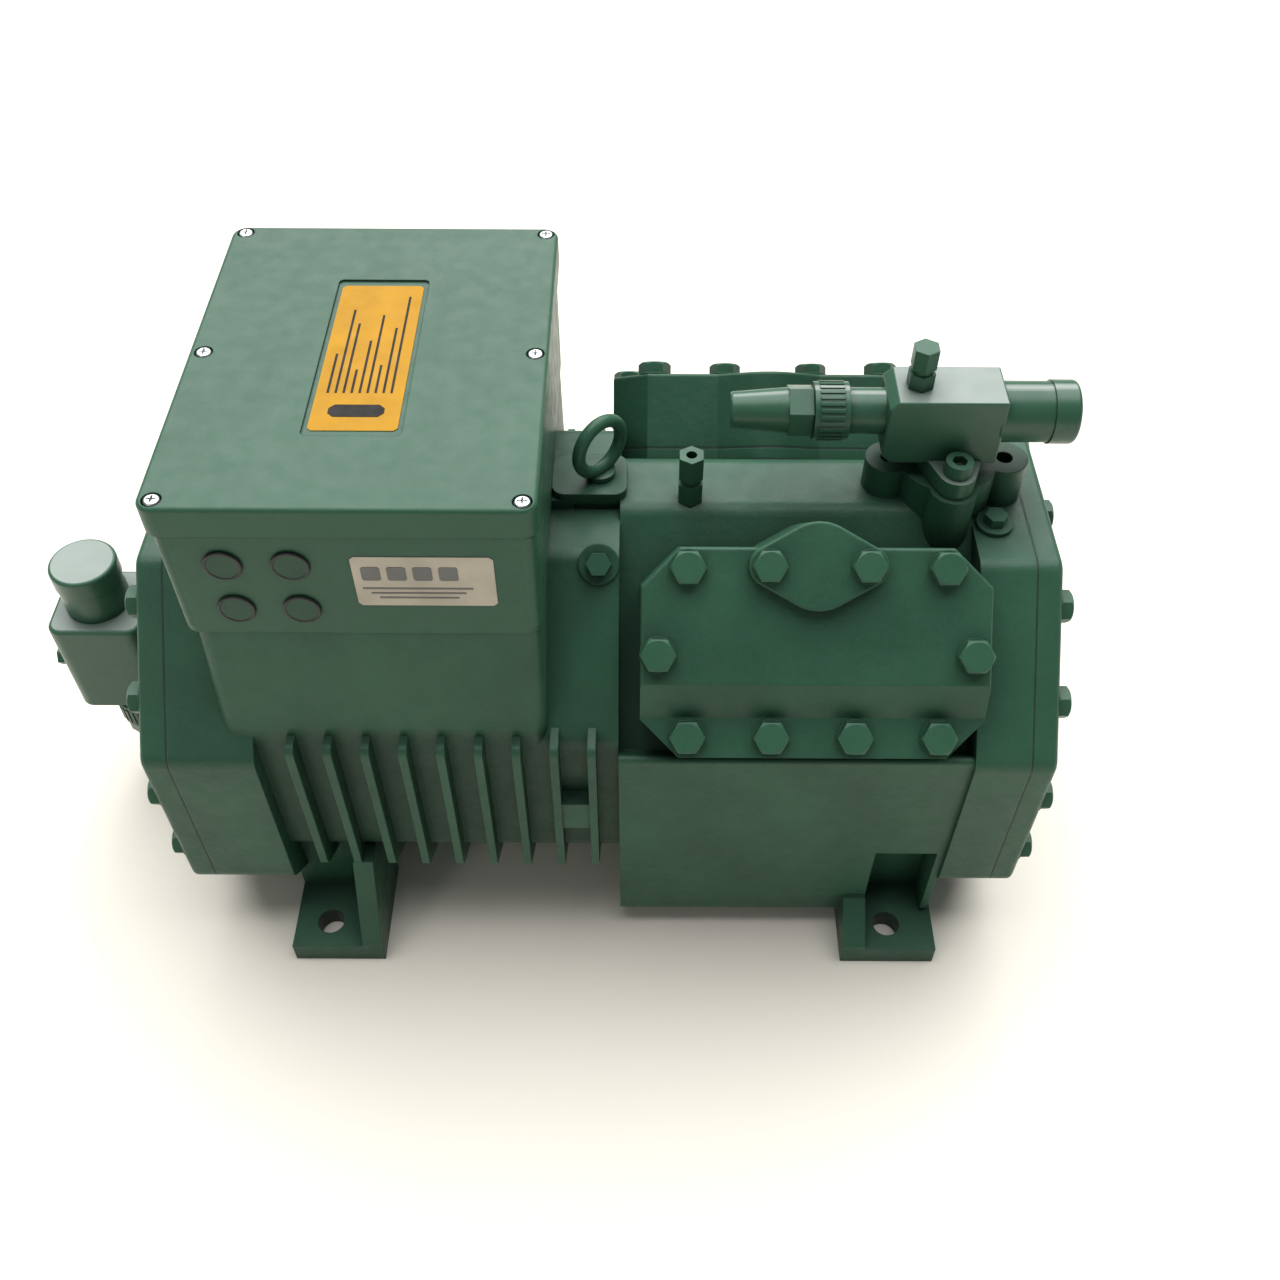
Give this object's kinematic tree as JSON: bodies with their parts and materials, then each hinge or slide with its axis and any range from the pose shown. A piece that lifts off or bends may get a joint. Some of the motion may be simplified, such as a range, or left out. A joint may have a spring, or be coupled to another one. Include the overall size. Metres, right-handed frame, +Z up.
{
  "type": "semi-hermetic reciprocating compressor",
  "caption": "Semi-hermetic reciprocating compressor: bolted V-form casting with built-in motor, terminal box, shut-off valves and four feet.",
  "frame": {"origin": "centre of the four foot holes, on the base plane", "axes": "+X along the crankshaft from the motor end to the drive end, +Y to the rear, +Z up"},
  "size_m": [0.663, 0.344, 0.386],
  "materials": {
    "painted_casting": "satin",
    "painted_steel": "satin",
    "painted_valve": "satin",
    "painted_box": "satin",
    "line_cap": "satin",
    "knockout": "satin",
    "zinc_steel": "bright zinc",
    "machined_steel": "machined",
    "aluminium": "cast",
    "copper": "varnished winding wire",
    "bronze": "machined",
    "gasket": "matt",
    "black_plastic": "matt",
    "glass": "clear"
  },
  "bodies": {
    "casing": {"housing": "painted_casting", "motor_end_cover": "painted_casting", "drive_end_cover": "painted_casting", "cylinder_head_front": "painted_casting", "cylinder_head_rear": "painted_casting", "port_cover": "painted_casting", "end_cover_bolts": "painted_steel", "head_bolts": "painted_steel", "port_bolts": "painted_steel", "screw_plugs": "painted_steel", "gauge_ports": "painted_steel", "pressure_port": "painted_steel", "lifting_eye": "painted_steel", "service_valve_screws": "painted_steel", "discharge_valve_body": "painted_valve", "suction_valve_body": "painted_valve", "terminal_box": "painted_box", "knockout_plugs": "knockout", "lid_seal": "gasket", "end_cover_gaskets": "gasket", "head_gaskets": "gasket", "service_valve_gaskets": "gasket", "valve_plate_front": "painted_steel", "valve_plate_rear": "painted_steel", "valve_reeds": "machined_steel", "oil_sight_glass": "machined_steel", "stator_core": "machined_steel", "stator_windings": "copper", "main_bearing_bushes": "bronze", "terminal_studs": "bronze", "terminal_board": "black_plastic", "protection_module": "black_plastic", "sight_window": "glass"},
    "terminal_cover": {"terminal_lid": "painted_box", "lid_screws": "zinc_steel"},
    "discharge_stem": {"discharge_spindle": "machined_steel"},
    "discharge_stem_cap": {"discharge_spindle_cap": "painted_valve"},
    "discharge_port_cap": {"discharge_line_cap": "line_cap"},
    "suction_stem": {"suction_spindle": "machined_steel"},
    "suction_stem_cap": {"suction_spindle_cap": "painted_valve"},
    "suction_port_cap": {"suction_line_cap": "line_cap"},
    "rotating_assembly": {"crankshaft": "machined_steel", "rotor": "machined_steel", "rotor_bolt": "machined_steel", "rotor_key": "machined_steel", "oil_slinger": "machined_steel"},
    "gallery_plug_1": {"oil_gallery_plug_1": "machined_steel"},
    "gallery_plug_2": {"oil_gallery_plug_2": "machined_steel"},
    "piston_assembly_1": {"piston_1": "aluminium", "piston_pin_1": "machined_steel"},
    "connecting_rod_1": {"conrod_1": "aluminium"},
    "piston_assembly_2": {"piston_2": "aluminium", "piston_pin_2": "machined_steel"},
    "connecting_rod_2": {"conrod_2": "aluminium"},
    "piston_assembly_3": {"piston_3": "aluminium", "piston_pin_3": "machined_steel"},
    "connecting_rod_3": {"conrod_3": "aluminium"},
    "piston_assembly_4": {"piston_4": "aluminium", "piston_pin_4": "machined_steel"},
    "connecting_rod_4": {"conrod_4": "aluminium"}
  },
  "joints": [
    {"name": "lid_lift", "type": "slide", "parent": "casing", "child": "terminal_cover", "axis": [0, 0, 1], "range_m": [0, 0.08]},
    {"name": "discharge_spindle_travel", "type": "slide", "parent": "casing", "child": "discharge_stem", "axis": [1, 0, 0], "range_m": [0, 0.009]},
    {"name": "discharge_stem_cap_removal", "type": "slide", "parent": "casing", "child": "discharge_stem_cap", "axis": [-1, 0, 0], "range_m": [0, 0.05]},
    {"name": "discharge_line_cap_removal", "type": "slide", "parent": "casing", "child": "discharge_port_cap", "axis": [1, 0, 0], "range_m": [0, 0.05]},
    {"name": "suction_spindle_travel", "type": "slide", "parent": "casing", "child": "suction_stem", "axis": [0, 0, 1], "range_m": [0, 0.009]},
    {"name": "suction_stem_cap_removal", "type": "slide", "parent": "casing", "child": "suction_stem_cap", "axis": [0, 0, -1], "range_m": [0, 0.009]},
    {"name": "suction_line_cap_removal", "type": "slide", "parent": "casing", "child": "suction_port_cap", "axis": [0, 0, 1], "range_m": [0, 0.05]},
    {"name": "crankshaft_turn", "type": "hinge", "parent": "casing", "child": "rotating_assembly", "pos_m": [0, 0, 0.144], "axis": [1, 0, 0], "continuous": true, "deforming": ["conrod_1", "conrod_2", "conrod_3", "conrod_4"]},
    {"name": "gallery_plug_1_turn", "type": "hinge", "parent": "rotating_assembly", "child": "gallery_plug_1", "pos_m": [0.236, 0, 0.1545], "axis": [1, 0, 0], "continuous": true},
    {"name": "gallery_plug_2_turn", "type": "hinge", "parent": "rotating_assembly", "child": "gallery_plug_2", "pos_m": [0.236, 0, 0.1335], "axis": [1, 0, 0], "continuous": true},
    {"name": "piston_1_stroke", "type": "hinge", "parent": "gallery_plug_1", "child": "piston_assembly_1", "pos_m": [0.0735, -0.0105, 0.1545], "axis": [1, 0, 0], "continuous": true},
    {"name": "piston_2_stroke", "type": "hinge", "parent": "gallery_plug_1", "child": "piston_assembly_2", "pos_m": [0.0555, 0.0105, 0.1545], "axis": [1, 0, 0], "continuous": true},
    {"name": "piston_3_stroke", "type": "hinge", "parent": "gallery_plug_2", "child": "piston_assembly_3", "pos_m": [0.1655, 0.0105, 0.1335], "axis": [1, 0, 0], "continuous": true},
    {"name": "piston_4_stroke", "type": "hinge", "parent": "gallery_plug_2", "child": "piston_assembly_4", "pos_m": [0.1475, -0.0105, 0.1335], "axis": [1, 0, 0], "continuous": true},
    {"name": "conrod_1_swing", "type": "hinge", "parent": "rotating_assembly", "child": "connecting_rod_1", "pos_m": [0.0735, 0, 0.165], "axis": [1, 0, 0], "continuous": true},
    {"name": "conrod_2_swing", "type": "hinge", "parent": "rotating_assembly", "child": "connecting_rod_2", "pos_m": [0.0555, 0, 0.165], "axis": [1, 0, 0], "continuous": true},
    {"name": "conrod_3_swing", "type": "hinge", "parent": "rotating_assembly", "child": "connecting_rod_3", "pos_m": [0.1655, 0, 0.123], "axis": [1, 0, 0], "continuous": true},
    {"name": "conrod_4_swing", "type": "hinge", "parent": "rotating_assembly", "child": "connecting_rod_4", "pos_m": [0.1475, 0, 0.123], "axis": [1, 0, 0], "continuous": true}
  ],
  "couplings": [
    {"joint": "gallery_plug_1_turn", "follows": "crankshaft_turn", "ratio": -2},
    {"joint": "gallery_plug_2_turn", "follows": "crankshaft_turn", "ratio": -2},
    {"joint": "piston_1_stroke", "follows": "crankshaft_turn", "ratio": 1},
    {"joint": "piston_2_stroke", "follows": "crankshaft_turn", "ratio": 1},
    {"joint": "piston_3_stroke", "follows": "crankshaft_turn", "ratio": 1},
    {"joint": "piston_4_stroke", "follows": "crankshaft_turn", "ratio": 1},
    {"joint": "conrod_1_swing", "follows": "crankshaft_turn", "ratio": -1},
    {"joint": "conrod_2_swing", "follows": "crankshaft_turn", "ratio": -1},
    {"joint": "conrod_3_swing", "follows": "crankshaft_turn", "ratio": -1},
    {"joint": "conrod_4_swing", "follows": "crankshaft_turn", "ratio": -1}
  ]
}
